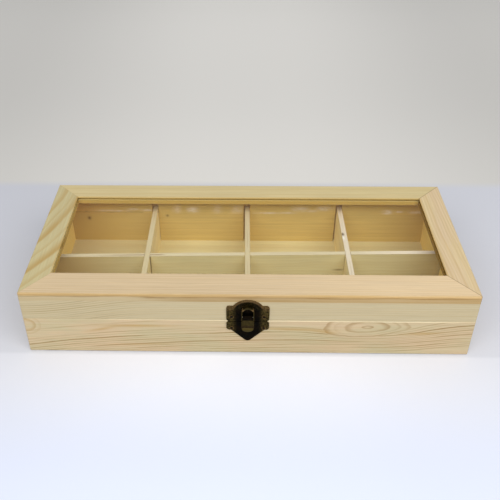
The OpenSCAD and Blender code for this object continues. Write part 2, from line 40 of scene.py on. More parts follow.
# Places that the patterns are set out from, in millimetres, taken from the boards themselves
PARTING_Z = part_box("base_front_wall")[1].z / MM
FRONT_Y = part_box("base_front_wall")[0].y / MM
BACK_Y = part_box("base_back_wall")[1].y / MM
SIDE_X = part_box("base_right_wall")[1].x / MM
WALL_T = (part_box("base_right_wall")[1].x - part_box("base_right_wall")[0].x) / MM
FRAME_TOP_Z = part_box("frame_front_rail")[1].z / MM
DIVIDER_TOP_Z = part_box("long_divider")[1].z / MM
DIVIDER_HALF_T = (
    (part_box("cross_divider_centre")[1].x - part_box("cross_divider_centre")[0].x) / 2 / MM
)
LAP_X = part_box("cross_divider_left")[1].x / MM
LONG_LOW, LONG_HIGH = (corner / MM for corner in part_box("long_divider"))
LONG_DIVIDER_Y = (LONG_LOW.y + LONG_HIGH.y) / 2
LONG_DIVIDER_SLOPE = (LONG_HIGH.y - LONG_LOW.y - 2 * DIVIDER_HALF_T) / (
    LONG_HIGH.x - LONG_LOW.x
)


def tone(code):
    """Linear colour for a hexadecimal sRGB code."""
    channels = [int(code[i : i + 2], 16) / 255 for i in (0, 2, 4)]
    return tuple(
        c / 12.92 if c <= 0.04045 else ((c + 0.055) / 1.055) ** 2.4 for c in channels
    )


# Fields: values that nodes work out at each point of a surface


def feed(tree, socket, value):
    """Links a field to a socket, or sets the socket to a plain number or colour."""
    if isinstance(value, Field):
        tree.links.new(value.socket, socket)
    elif isinstance(value, (tuple, list)) and len(value) == 3 and socket.type == "RGBA":
        socket.default_value = (*value, 1)
    else:
        socket.default_value = value


def calc(tree, operation, *values):
    """Field that a Math node gives for these values."""
    node = tree.nodes.new("ShaderNodeMath")
    node.operation = operation
    for socket, value in zip(node.inputs, values):
        feed(tree, socket, value)
    return Field(tree, node.outputs[0])


class Field:
    """A number that varies over a surface. Sums and products of fields add Math nodes."""

    def __init__(self, tree, socket):
        self.tree = tree
        self.socket = socket

    def __add__(self, other):
        return calc(self.tree, "ADD", self, other)

    __radd__ = __add__

    def __sub__(self, other):
        return calc(self.tree, "SUBTRACT", self, other)

    def __rsub__(self, other):
        return calc(self.tree, "SUBTRACT", other, self)

    def __mul__(self, other):
        return calc(self.tree, "MULTIPLY", self, other)

    def __truediv__(self, other):
        return calc(self.tree, "DIVIDE", self, other)

    def __abs__(self):
        return calc(self.tree, "ABSOLUTE", self)

    def whole(self):
        """Largest whole number that isn't above this one."""
        return calc(self.tree, "FLOOR", self)

    def clamped(self):
        """Held between 0 and 1."""
        node = self.tree.nodes.new("ShaderNodeClamp")
        feed(self.tree, node.inputs["Value"], self)
        return Field(self.tree, node.outputs[0])

    def rise(self, low, high):
        """0 below low, 1 above high and smooth between. With low above high it falls."""
        node = self.tree.nodes.new("ShaderNodeMapRange")
        node.interpolation_type = "SMOOTHSTEP"
        feed(self.tree, node.inputs["Value"], self)
        feed(self.tree, node.inputs["From Min"], low)
        feed(self.tree, node.inputs["From Max"], high)
        return Field(self.tree, node.outputs["Result"])


def hill(*offsets):
    """Smooth hill of height 1 where every offset is 0, and about a third where they make 1."""
    total = offsets[0] * offsets[0]
    for offset in offsets[1:]:
        total = total + offset * offset
    return calc(total.tree, "EXPONENT", total * -1)


def larger(a, b):
    """Greater of two values at each point."""
    return calc(a.tree, "MAXIMUM", a, b)


def smaller(a, b):
    """Lesser of two values at each point."""
    return calc(a.tree, "MINIMUM", a, b)


def distance(a, b):
    """Length of the flat vector (a, b)."""
    return calc(a.tree, "SQRT", a * a + b * b)


def noise(x, y, z, detail=2.0, roughness=0.5, distortion=0.0):
    """Noise from 0 to 1 at a place given by three fields or numbers."""
    tree = next(v.tree for v in (x, y, z) if isinstance(v, Field))
    place = tree.nodes.new("ShaderNodeCombineXYZ")
    for socket, value in zip(place.inputs, (x, y, z)):
        feed(tree, socket, value)
    node = tree.nodes.new("ShaderNodeTexNoise")
    node.inputs["Scale"].default_value = 1
    node.inputs["Detail"].default_value = detail
    node.inputs["Roughness"].default_value = roughness
    node.inputs["Distortion"].default_value = distortion
    tree.links.new(place.outputs[0], node.inputs["Vector"])
    return Field(tree, node.outputs["Fac"])


def chance(value):
    """Random number from 0 to 1 that stays the same wherever value is the same."""
    node = value.tree.nodes.new("ShaderNodeTexWhiteNoise")
    node.noise_dimensions = "1D"
    feed(value.tree, node.inputs["W"], value)
    return Field(value.tree, node.outputs["Value"])


def blend(share, first, second):
    """Colour that goes from first to second as share goes from 0 to 1."""
    tree = next(v.tree for v in (share, first, second) if isinstance(v, Field))
    node = tree.nodes.new("ShaderNodeMix")
    node.data_type = "RGBA"
    feed(tree, node.inputs[0], share)
    feed(tree, node.inputs[6], first)
    feed(tree, node.inputs[7], second)
    return Field(tree, node.outputs[2])


def dimmed(colour, factor):
    """Colour with its brightness times factor."""
    node = factor.tree.nodes.new("ShaderNodeVectorMath")
    node.operation = "SCALE"
    feed(factor.tree, node.inputs[0], colour)
    feed(factor.tree, node.inputs["Scale"], factor)
    return Field(factor.tree, node.outputs[0])


def place_in_mm(tree):
    """X, Y and Z of the surface in the box's own frame, in millimetres."""
    source = tree.nodes.new("ShaderNodeTexCoord")
    split = tree.nodes.new("ShaderNodeSeparateXYZ")
    tree.links.new(source.outputs["Object"], split.inputs[0])
    return [Field(tree, socket) / MM for socket in split.outputs]


# Timber: one node group for every board and veneer

# Names and defaults of the group's inputs, with lengths in millimetres
TIMBER_INPUTS = (
    ("Along", 0.0),
    ("Across", 0.0),
    ("Deep", 0.0),
    ("Pith Across", -70.0),
    ("Pith Deep", 0.0),
    ("Lift", 0.0),
    ("Wander", 1.0),
    ("Bold Spacing", 7.0),
    ("Bold", 0.5),
    ("Fine Spacing", 2.2),
    ("Fine", 0.2),
    ("Fibre", 0.12),
    ("Seed", 0.0),
)
TIMBER_COLOURS = (
    ("Pale", tone("d2c199")),
    ("Blush", tone("d8bf9c")),
    ("Late", tone("bd9256")),
)


def year_rings(radius, spacing, seed):
    """Growth rings: slow rise to the dark late wood, quick fall, each ring of its own strength."""
    phase = radius / spacing + seed
    ring = phase.whole()
    part = phase - ring
    profile = part.rise(0.2, 0.82) * part.rise(1.0, 0.86)
    return profile * (chance(ring + seed) * 0.75 + 0.25)


def timber_group():
    """Node group that draws grain: years, fibres, resin dashes and slow shifts of tone."""
    tree = bpy.data.node_groups.new("Timber", "ShaderNodeTree")
    for name, default in TIMBER_INPUTS:
        socket = tree.interface.new_socket(
            name=name, in_out="INPUT", socket_type="NodeSocketFloat"
        )
        socket.default_value = default
    for name, default in TIMBER_COLOURS:
        socket = tree.interface.new_socket(
            name=name, in_out="INPUT", socket_type="NodeSocketColor"
        )
        socket.default_value = (*default, 1)
    for name, kind in (
        ("Color", "NodeSocketColor"),
        ("Height", "NodeSocketFloat"),
        ("Roughness", "NodeSocketFloat"),
    ):
        tree.interface.new_socket(name=name, in_out="OUTPUT", socket_type=kind)
    source = tree.nodes.new("NodeGroupInput")
    given = {s.name: Field(tree, s) for s in source.outputs if s.name}
    seed = given["Seed"]
    along = given["Along"] + seed * 37
    across, deep = given["Across"], given["Deep"]

    wander = noise(along / 90, across / 32 + seed, deep / 32) - 0.5
    ripple = noise(along / 24, across / 9, deep / 9 + seed) - 0.5
    radius = (
        distance(across - given["Pith Across"], deep - given["Pith Deep"])
        + given["Lift"]
        + given["Wander"] * (wander * 4 + ripple * 0.8)
    )
    bold = year_rings(radius, given["Bold Spacing"], seed) * given["Bold"]
    fine = year_rings(radius + 40, given["Fine Spacing"], seed + 0.37) * given["Fine"]

    fibre = noise(
        along / 16, across * 1.7, deep * 1.7 + seed, detail=4, roughness=0.62
    )
    strand = noise(along / 48, across * 0.8 + seed, deep * 0.8, detail=3)
    dash = noise(along / 4.5, across * 1.5 + seed, deep * 1.5, detail=1).rise(
        0.66, 0.76
    )
    patch = noise(
        along / 60, across / 15 + seed * 3, deep / 15, detail=3, roughness=0.55
    )

    colour = blend(patch.rise(0.32, 0.68), given["Pale"], given["Blush"])
    colour = blend((bold + fine + dash * 0.09).clamped(), colour, given["Late"])
    streaks = (fibre - 0.5) + (strand - 0.5)
    colour = dimmed(colour, streaks * given["Fibre"] * 2 + 1)

    out = tree.nodes.new("NodeGroupOutput")
    feed(tree, out.inputs["Color"], colour)
    feed(tree, out.inputs["Height"], fibre + bold * 0.3 - dash * 0.5)
    feed(tree, out.inputs["Roughness"], (fibre - 0.5) * 0.3 - bold * 0.12 + 0.66)
    return tree


class Finish:
    """One material: a shader, and the place on the surface that its patterns start from."""

    def __init__(self, name):
        self.material = bpy.data.materials.new(name)
        self.material.use_nodes = True
        self.tree = self.material.node_tree
        self.tree.nodes.clear()
        self.out = self.tree.nodes.new("ShaderNodeOutputMaterial")
        self.shader = self.tree.nodes.new("ShaderNodeBsdfPrincipled")
        self.tree.links.new(self.shader.outputs[0], self.out.inputs["Surface"])
        self.x, self.y, self.z = place_in_mm(self.tree)

    def set(self, socket, value):
        """Sets or links one of the shader's inputs."""
        feed(self.tree, self.shader.inputs[socket], value)

    def relief(self, height, depth):
        """Bumps the surface by height, a field, over depth in millimetres."""
        bump = self.tree.nodes.new("ShaderNodeBump")
        bump.inputs["Strength"].default_value = 1
        bump.inputs["Distance"].default_value = depth * MM
        feed(self.tree, bump.inputs["Height"], height)
        self.tree.links.new(bump.outputs[0], self.shader.inputs["Normal"])

    def timber(self, group, **inputs):
        """Adds the timber group and returns its colour, height and roughness."""
        node = self.tree.nodes.new("ShaderNodeGroup")
        node.node_tree = group
        for name, value in inputs.items():
            feed(self.tree, node.inputs[name.replace("_", " ").title()], value)
        return [Field(self.tree, socket) for socket in node.outputs]

    def dress(self, *names):
        """Puts this material on the CAD nodes or pieces with these names."""
        for name in names:
            mesh = bpy.data.objects[name].data
            mesh.materials.clear()
            mesh.materials.append(self.material)


def direction(finish, lay):
    """Along, across and deep for a board whose grain runs along x or y, standing or flat."""
    x, y, z = finish.x, finish.y, finish.z
    return {
        "x standing": {"along": x, "across": z, "deep": y},
        "y standing": {"along": y, "across": z, "deep": x},
        "x flat": {"along": x, "across": y, "deep": z},
        "y flat": {"along": y, "across": x, "deep": z},
    }[lay]


def wood_settings():
    """Colours of the wood that the scene holds."""
    return bpy.context.scene.tea_box_wood


def metal_settings():
    """Colours of the metal and haze of the pane that the scene holds."""
    return bpy.context.scene.tea_box_metal


def shared_timber():
    """Timber group, built once and used by every board."""
    return bpy.data.node_groups.get("Timber") or timber_group()


def board(node, lay, colours, lift=None, marks=None, relief=0.05, **grain):
    """Pine board: its grain runs as lay says, lift bends the years, and marks adds its own marks.

    Colours are its pale, blush and late tones, and relief is the grain's depth in millimetres.
    """
    finish = Finish(node + "_wood")
    pale, blush, late = colours
    if lift is not None:
        grain["lift"] = lift(finish)
    colour, height, roughness = finish.timber(
        shared_timber(),
        **direction(finish, lay),
        pale=tuple(pale),
        blush=tuple(blush),
        late=tuple(late),
        **grain,
    )
    if marks is not None:
        colour = marks(finish, colour)
    finish.set("Base Color", colour)
    finish.set("Roughness", roughness)
    finish.set("Specular IOR Level", 0.35)
    finish.relief(height, relief)
    finish.dress(node)


# Marks, painted light and painted shade on single boards


def inner_face(value, outside):
    """1 on the inside face of a board whose outside face lies at outside, 0 elsewhere."""
    return abs(value).rise(outside - WALL_T + 0.4, outside - WALL_T + 0.1)


def painted_end_shade(finish, colour, deep, share):
    """Painted shade: blends to a deeper tone towards the ends of the box, less so at the right."""
    x = finish.x
    return blend(larger(x.rise(-70, -150), x.rise(85, 160) * 0.55) * share, colour, deep)


def painted_groove_light(finish, colour):
    """Pale tan inside the grooves of the back boards, which are 4 mm deep: painted light that
    lifts their shade.
    """
    y, inside = finish.y, BACK_Y - WALL_T
    groove = y.rise(inside + 0.2, inside + 0.6) * y.rise(inside + 4.6, inside + 4.2)
    return blend(groove, colour, tone("eac888"))


def drawn_years(finish, colour, figure, years, late, steady=0.35):
    """Draws single years: each is a level of the figure, with its width and strength.

    Steady is the share of its strength that a year keeps where it fades.
    """
    for level, width, strength in years:
        run = noise(finish.x / 45, finish.y / 45, level * 1.7, detail=2)
        line = figure.rise(level - 1.7 * width, level) * figure.rise(
            level + 0.5 * width, level
        )
        share = line * (run.rise(0.32, 0.58) * (1 - steady) + steady) * strength
        colour = blend(share, colour, late)
    return colour


# Fan of years at the left end of the base's front: how far it reaches, and its height
FAN_LENGTH, FAN_HEIGHT = 100, 18


def base_front_figure(finish):
    """Height of the years on the base's front: a wide fan from the left, bent below the ovals."""
    x, y, z = finish.x, finish.y, finish.z
    fan = calc(finish.tree, "EXPONENT", (x + SIDE_X) * (-1 / FAN_LENGTH)) * FAN_HEIGHT
    bend = hill((x - 87) / 34, (z - 26.3) / 11) * 9
    waver = (noise(x / 34, z / 8, y / 9, detail=3) - 0.5) * 1.8
    return z + fan + bend - x.rise(98, 175) * 6 + waver + (y - FRONT_Y) * 0.6


# Years on the base's front: level of the figure, width and strength
BASE_FRONT_YEARS = (
    (4.6, 0.6, 0.54),
    (6.6, 0.6, 0.48),
    (8.6, 0.7, 0.72),
    (10.4, 0.5, 0.38),
    (12.2, 0.7, 0.67),
    (14.2, 0.5, 0.45),
    (16.4, 0.9, 0.72),
    (18.4, 0.5, 0.40),
    (20.4, 0.6, 0.64),
    (22.2, 0.5, 0.40),
    (24.4, 0.7, 0.95),
    (27.0, 0.5, 0.40),
    (29.4, 0.6, 0.48),
    (38.0, 0.7, 0.40),
)

# Ovals on the base's front: size, width and strength
FRONT_OVALS = ((1.7, 0.6, 0.6), (5.2, 1.0, 0.5), (7.6, 0.5, 0.3), (9.6, 0.8, 0.5))

# Half oval at the left end of the base's front: size, width and strength
FRONT_SWIRL = ((5.6, 1.5, 0.6), (8.8, 1.2, 0.4))

# Golden streaks on the base's front: middle x and z, half length, half height, slope and
# strength
FRONT_STREAKS = (
    (-106, 22.6, 10, 1.3, 0.22, 0.45),
    (-80, 26.2, 24, 1.3, 0.0, 0.5),
    (-76, 7.8, 24, 0.7, 0.02, 0.35),
    (34, 23.8, 26, 1.3, -0.03, 0.5),
    (56, 21.4, 9, 1.1, -0.12, 0.45),
    (127, 20.8, 12, 1.0, 0.06, 0.5),
)


def base_front_marks(finish, colour):
    """Years, ovals and streaks of the base's front, and the light that its upper edge catches."""
    x, z = finish.x, finish.z
    bent = noise(x / 16, z / 6, 5.2, detail=2) - 0.5
    ring = distance((x - 86 + z.rise(27, 18) * 6) / 3.1, z - 26.6) + bent * 2.4
    inside = ring.rise(10.4, 9.6)
    years = drawn_years(
        finish, colour, base_front_figure(finish), BASE_FRONT_YEARS, tone("957437")
    )
    rings = drawn_years(finish, colour, ring, FRONT_OVALS, tone("966c2c"))
    colour = blend(inside, years, rings)
    swirl = distance((x + 161) / 1.2, z - 26)
    colour = drawn_years(finish, colour, swirl, FRONT_SWIRL, tone("b08844"))
    for place, height, long, high, slope, strength in FRONT_STREAKS:
        off = x - place
        streak = hill(off / long, (z - height - off * slope) / high)
        colour = blend(streak * strength, colour, tone("b88c38"))
    lit = z.rise(PARTING_Z - 0.75, PARTING_Z - 0.3) * x.rise(-122, -72)
    lit = lit * (x.rise(165, 125) * 0.6 + 0.4)
    return blend(lit * (x.rise(-80, 110) * 0.35 + 0.55), colour, tone("efe0ba"))


def left_rail_figure(finish):
    """Years that cross the left rail at a slant, less so towards the back."""
    x, y, z = finish.x, finish.y, finish.z
    waver = (noise(x / 14, y / 40, z / 9, detail=3) - 0.5) * 4
    return x - y * 0.42 + y * y * 0.0022 + waver + (FRAME_TOP_Z - z) * 0.8


# Years on the left rail: level of the figure, width and strength
LEFT_RAIL_YEARS = (
    (-181.0, 3.0, 0.3),
    (-171.0, 3.4, 0.55),
    (-163.5, 1.6, 0.25),
    (-156.5, 4.2, 0.68),
    (-146.5, 2.0, 0.25),
    (-135.5, 5.0, 0.66),
    (-124.0, 3.0, 0.3),
)


def right_rail_years(finish):
    """Years that run slightly askew to the right rail."""
    return finish.y * 0.05


def lid_front_years(finish):
    """Years that dip towards the left end."""
    return (finish.x + SIDE_X).rise(100, 0) * 12


# Years on the lid's front, of which every third is stronger: level, width and strength
LID_FRONT_YEARS = [(1.5 + 1.9 * i, 0.5, 0.32 if i % 3 else 0.5) for i in range(14)]


def lid_front_marks(finish, colour):
    """Clearer years at the left end, where they run at a slant."""
    figure = finish.z - PARTING_Z + lid_front_years(finish)
    fade = (finish.x + SIDE_X).rise(110, 50)
    lines = drawn_years(finish, colour, figure, LID_FRONT_YEARS, tone("8a6f38"))
    return blend(fade, colour, lines)


# Half the window's width, and where its front and back edges lie
WINDOW_X = -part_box("frame_left_rail")[1].x / MM
WINDOW_FRONT_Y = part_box("frame_front_rail")[1].y / MM
WINDOW_BACK_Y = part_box("frame_back_rail")[0].y / MM

# How dark the mitres' hairlines are: they show at the right and hardly at the left
MITRES = {
    ("left", "front"): 0.12,
    ("right", "front"): 0.55,
    ("left", "back"): 0.1,
    ("right", "back"): 0.5,
}


def mitre(finish, colour, side, end):
    """Dark hairline along the mitre at one corner of the window frame."""
    mirror = 1 if side == "right" else -1
    outer_y, inner_y, toward = (
        (FRONT_Y, WINDOW_FRONT_Y, -1) if end == "front" else (BACK_Y, WINDOW_BACK_Y, 1)
    )
    run_x, run_y = SIDE_X - WINDOW_X, abs(outer_y - inner_y)
    length = math.hypot(run_x, run_y)
    off = (
        (finish.x * mirror - SIDE_X) * (run_y / length)
        - (finish.y * toward - abs(outer_y)) * (run_x / length)
    )
    line = abs(off).rise(0.45, 0.1) * MITRES[side, end]
    return blend(line, colour, tone("6b4c26"))


def front_rail_marks(finish, colour):
    """Browner late wood on the rail's front edge and face, and the mitres' hairlines."""
    waver = noise(finish.x / 42, finish.z / 1.7, 3.1, detail=3)
    x, y, z = finish.x, finish.y, finish.z
    edge = y.rise(FRONT_Y + 1.6, FRONT_Y + 0.3) * waver.rise(0.2, 0.62)
    face = y.rise(FRONT_Y + 0.3, FRONT_Y + 0.1)
    colour = blend(edge * 0.45 * (1 - face), colour, tone("b5924f"))
    low = z.rise(FRAME_TOP_Z - 1.9, FRAME_TOP_Z - 2.6)
    below = blend(x.rise(-90, -30), tone("cbb98f"), tone("ad8e56"))
    tan = blend(low, tone("c8a260"), below)
    colour = blend(face * (waver * 0.5 + 0.45), colour, tan)
    line = hill((z - FRAME_TOP_Z + 2.4 + (waver - 0.5) * 5) / 0.4) * face
    colour = blend(line * 0.6, colour, tone("946f34"))
    colour = dimmed(colour, x.rise(-60, 150) * 0.14 + 0.95)
    colour = mitre(finish, colour, "right", "front")
    return mitre(finish, colour, "left", "front")


def rail_edge_light_and_shade(finish, colour):
    """Rail's inner edge: a brown lip, a pale groove for the pane painted as light, deeper gold
    below, and painted shade on the right rail's inner face.
    """
    x, y, z = finish.x, finish.y, finish.z
    across = larger(abs(x) - WINDOW_X, y - WINDOW_BACK_Y)
    right = (x - WINDOW_X).rise(-0.3, -0.05) * y.rise(WINDOW_BACK_Y + 0.5, WINDOW_BACK_Y - 0.5)
    lip = across.rise(0.35, 0.1) * z.rise(FRAME_TOP_Z - 0.3, FRAME_TOP_Z - 0.6)
    low = z.rise(FRAME_TOP_Z - 1.3, FRAME_TOP_Z - 1.5)
    rim = across.rise(1.5, 0.4) * z.rise(FRAME_TOP_Z - 0.3, FRAME_TOP_Z - 0.05)
    colour = blend(rim * 0.5, colour, tone("c4a050"))
    colour = blend(lip * 0.8, colour, tone("c29c48"))
    # Painted light: pale gold below the lip, away from the inner face, lights the pane's groove,
    # which lies in shade
    colour = blend(across.rise(0.2, 0.5) * low, colour, tone("f4d890"))
    colour = blend(across.rise(0.5, 0.2) * low, colour, tone("d3af5e"))
    # Painted shade: the right rail below its top is painted a darker brown, seen on its inner face
    right = right * z.rise(FRAME_TOP_Z - 0.2, FRAME_TOP_Z - 0.5)
    return blend(right, colour, tone("a07a30"))


def back_rail_marks(finish, colour):
    """Inner edge of the back rail, and its two mitres."""
    colour = rail_edge_light_and_shade(finish, colour)
    colour = mitre(finish, colour, "right", "back")
    return mitre(finish, colour, "left", "back")


def right_rail_marks(finish, colour):
    """Inner edge of the right rail, and its two mitres."""
    colour = rail_edge_light_and_shade(finish, colour)
    colour = mitre(finish, colour, "right", "front")
    return mitre(finish, colour, "right", "back")


def left_rail_marks(finish, colour):
    """Inner edge of the left rail, its broad slanting years, and its two mitres."""
    colour = rail_edge_light_and_shade(finish, colour)
    figure = left_rail_figure(finish)
    colour = drawn_years(
        finish, colour, figure, LEFT_RAIL_YEARS, tone("ae8638"), steady=0.75
    )
    colour = mitre(finish, colour, "left", "front")
    return mitre(finish, colour, "left", "back")


# Smears of dried glue inside the back of the lid: middle x, height above the parting line,
# half length, half height and strength
GLUE_SMEARS = (
    (-122, 3.0, 9, 1.0, 0.5),
    (-110, 2.8, 8, 0.9, 0.5),
    (-98.6, 4.5, 5, 1.1, 0.55),
    (-87, 3.6, 5, 1.1, 0.6),
    (-61, 5.0, 3.4, 4.0, 0.45),
    (-47.5, 4.4, 4.4, 2.6, 0.85),
    (-26, 5.0, 4, 5.0, 0.3),
    (-9, 4.6, 5, 4.2, 0.4),
    (19, 1.2, 11, 1.0, 0.6),
    (35, 1.6, 7, 1.0, 0.5),
    (46, 5.4, 7, 2.4, 0.6),
    (56, 3.6, 5, 1.4, 0.4),
    (66, 6.2, 6, 2.2, 0.65),
    (121, 2.6, 3.4, 2.0, 0.8),
    (131, 3.2, 3, 1.0, 0.6),
    (146, 2.8, 6, 1.6, 0.5),
)


def lid_back_marks(finish, colour):
    """Painted shade in deep gold towards the ends, painted light in the grooves, dried glue in
    pale smears above the parting line, and a dark joint.
    """
    x, z = finish.x, finish.z
    inside = inner_face(finish.y, BACK_Y)
    blot = noise(x / 3.4, z / 1.6, 7.7, detail=3, roughness=0.6, distortion=0.8)
    glue = blot * 0
    for place, height, long, high, strength in GLUE_SMEARS:
        smear = hill((x - place) / long, (z - PARTING_Z - height) / high)
        glue = larger(glue, smear * strength)
    share = (glue * (blot.rise(0.32, 0.56) + 0.35)).clamped() * inside
    # Painted shade towards the ends, and painted light in the grooves
    colour = painted_groove_light(finish, painted_end_shade(finish, colour, tone("d3a24c"), 0.6))
    joint = hill((z - PARTING_Z - 1.6 - (blot - 0.5) * 4) / 0.5) * x.rise(-86, -96)
    colour = blend(joint * inside * 0.5, colour, tone("7c6428"))
    return blend(share, colour, tone("f2e2cc"))


def base_back_marks(finish, colour):
    """Painted shade in a deeper tone at the ends, painted light in the grooves, a small dark knot
    near the left end, and a smudge.
    """
    x, z = finish.x, finish.z
    # Painted shade towards the ends, and painted light in the grooves
    colour = painted_groove_light(finish, painted_end_shade(finish, colour, tone("c8a457"), 0.9))
    knot = hill((x + 138.6) / 1.5, (z - 27.2) / 1.7)
    smudge = hill((x + 69.7) / 1.2, (z - 30.2) / 1.3) * 0.6
    inside = inner_face(finish.y, BACK_Y)
    return blend(larger(knot * 0.85, smudge) * inside, colour, tone("5a3c10"))


def side_wall_inner_light(finish, colour):
    """Painted light: inside, the side boards are painted a brighter, deeper gold than they are
    outside.
    """
    return blend(inner_face(finish.x, SIDE_X) * 0.95, colour, tone("fadc84"))


# Boards: their colours, and one operator for each group of like boards


class WoodTones(bpy.types.PropertyGroup):
    """Colours of the bare wood."""

    front_rail: FloatVectorProperty(
        name="Front rail",
        description="Ground colour of the window frame's front rail",
        subtype="COLOR",
        default=tone("dcc39c"),
    )
    back_rail: FloatVectorProperty(
        name="Back rail",
        description="Ground colour of the window frame's back rail",
        subtype="COLOR",
        default=tone("d2c08f"),
    )
    left_rail: FloatVectorProperty(
        name="Left rail",
        description="Ground colour of the window frame's left rail",
        subtype="COLOR",
        default=tone("c6b98c"),
    )
    right_rail: FloatVectorProperty(
        name="Right rail",
        description="Ground colour of the window frame's right rail",
        subtype="COLOR",
        default=tone("dac497"),
    )
    lid_walls: FloatVectorProperty(
        name="Lid walls",
        description="Ground colour of the lid's wall boards",
        subtype="COLOR",
        default=tone("cdbe99"),
    )
    base_walls: FloatVectorProperty(
        name="Base walls",
        description="Ground colour of the base's wall boards",
        subtype="COLOR",
        default=tone("cec19a"),
    )
    back_wall: FloatVectorProperty(
        name="Back wall",
        description="Ground colour of both back boards, seen through the window",
        subtype="COLOR",
        default=tone("dabd72"),
    )
    blush: FloatVectorProperty(
        name="Blush",
        description="Pinker tone that drifts through the boards",
        subtype="COLOR",
        default=tone("d8c09b"),
    )
    late: FloatVectorProperty(
        name="Late wood",
        description="Orange brown of the dense late wood in each year",
        subtype="COLOR",
        default=tone("b68f49"),
    )
    veneer: FloatVectorProperty(
        name="Veneer",
        description="Face veneer of the bottom and the long divider",
        subtype="COLOR",
        default=tone("dfd09d"),
    )
    # Painted light: the cross dividers' faces are painted paler than the veneer of the long
    # divider and the bottom, to light faces that stand in shade
    divider_face_painted_light: FloatVectorProperty(
        name="Divider faces",
        description="Face veneer of the cross dividers",
        subtype="COLOR",
        default=tone("fdeab4"),
    )
    core: FloatVectorProperty(
        name="Core",
        description="Core ply that shows as a darker line on the dividers' edges",
        subtype="COLOR",
        default=tone("a8824f"),
    )


class TEABOX_OT_base_boards(bpy.types.Operator):
    """Gives the four boards of the base their pine"""

    bl_idname = "teabox.base_boards"
    bl_label = "Base boards"

    def execute(self, context):
        wood = wood_settings()
        board(
            "base_front_wall",
            "x standing",
            (wood.base_walls, wood.blush, wood.late),
            marks=base_front_marks,
            pith_across=-90,
            pith_deep=FRONT_Y,
            wander=0.8,
            bold_spacing=12,
            bold=0.06,
            fine_spacing=1.5,
            fine=0.2,
            seed=0.15,
        )
        board(
            "base_back_wall",
            "x standing",
            (wood.back_wall, wood.back_wall, wood.late),
            marks=base_back_marks,
            pith_across=-96,
            pith_deep=90,
            wander=0.5,
            bold_spacing=9,
            bold=0.1,
            fine_spacing=1.35,
            fine=0.55,
            seed=2.4,
        )
        for node, seed in (("base_left_wall", 3.3), ("base_right_wall", 4.7)):
            board(
                node,
                "y standing",
                (wood.base_walls, wood.blush, wood.late),
                marks=side_wall_inner_light,
                pith_across=-40,
                pith_deep=0,
                wander=1.6,
                bold_spacing=6.5,
                bold=0.45,
                fine=0.22,
                seed=seed,
            )
        return {"FINISHED"}


class TEABOX_OT_lid_boards(bpy.types.Operator):
    """Gives the four boards of the lid their pine"""

    bl_idname = "teabox.lid_boards"
    bl_label = "Lid boards"

    def execute(self, context):
        wood = wood_settings()
        board(
            "lid_front_wall",
            "x standing",
            (wood.lid_walls, wood.lid_walls, wood.late),
            lift=lid_front_years,
            marks=lid_front_marks,
            pith_across=-130,
            pith_deep=-60,
            wander=0.5,
            bold_spacing=11,
            bold=0.12,
            fine_spacing=2.1,
            fine=0.2,
            seed=5.2,
        )
        board(
            "lid_back_wall",
            "x standing",
            (wood.back_wall, wood.back_wall, wood.late),
            marks=lid_back_marks,
            pith_across=-80,
            pith_deep=60,
            wander=0.8,
            bold=0.08,
            fine=0.14,
            seed=6.1,
        )
        for node, seed in (("lid_left_wall", 7.6), ("lid_right_wall", 8.2)):
            board(
                node,
                "y standing",
                (wood.lid_walls, wood.blush, wood.late),
                marks=side_wall_inner_light,
                pith_across=-60,
                pith_deep=20,
                wander=1.2,
                bold=0.32,
                fine=0.24,
                seed=seed,
            )
        return {"FINISHED"}


class TEABOX_OT_window_frame(bpy.types.Operator):
    """Gives the four mitred rails round the window their pine"""

    bl_idname = "teabox.window_frame"
    bl_label = "Window frame"

    def execute(self, context):
        wood = wood_settings()
        board(
            "frame_front_rail",
            "x flat",
            (wood.front_rail, wood.blush, wood.late),
            marks=front_rail_marks,
            pith_across=-190,
            pith_deep=20,
            wander=0.8,
            bold_spacing=8,
            bold=0.15,
            fine_spacing=2.3,
            fine=0.22,
            seed=9.4,
        )
        board(
            "frame_back_rail",
            "x flat",
            (wood.back_rail, wood.back_rail, wood.late),
            marks=back_rail_marks,
            pith_across=-60,
            pith_deep=30,
            wander=0.6,
            bold_spacing=9,
            bold=0.14,
            fine_spacing=2.6,
            fine=0.16,
            seed=10.3,
        )
        board(
            "frame_left_rail",
            "y flat",
            (wood.left_rail, wood.left_rail, wood.late),
            marks=left_rail_marks,
            pith_across=-300,
            pith_deep=50,
            wander=1.1,
            bold_spacing=8,
            bold=0.1,
            fine_spacing=2.4,
            fine=0.12,
            seed=11.62,
        )
        board(
            "frame_right_rail",
            "y flat",
            (wood.right_rail, wood.blush, wood.late),
            lift=right_rail_years,
            marks=right_rail_marks,
            pith_across=60,
            pith_deep=50,
            wander=1.5,
            bold_spacing=7,
            bold=0.27,
            fine_spacing=2.4,
            fine=0.26,
            seed=12.8,
        )
        return {"FINISHED"}


def divider_top(finish):
    """1 on the top edge of a divider, 0 on its faces."""
    return finish.z.rise(DIVIDER_TOP_Z - 0.3, DIVIDER_TOP_Z - 0.1)


def ply_edge(finish, colour, off_middle, along, seed, cream):
    """Top of a divider: cream outer plies, and the core as a line that comes and goes."""
    top = divider_top(finish)
    worn = noise(along / 30, seed, 1.3, detail=2)
    core = abs(off_middle).rise(0.8, 0.2) * worn.rise(0.42, 0.62) * 0.22
    skin = abs(off_middle).rise(DIVIDER_HALF_T - 0.9, DIVIDER_HALF_T - 0.2)
    sawn = noise(along / 3, off_middle * 2 + seed, 2.7, detail=2) * 0.16
    edge = blend((core + skin * 0.12 + sawn).clamped(), cream, wood_settings().core[:])
    return blend(top, colour, edge)


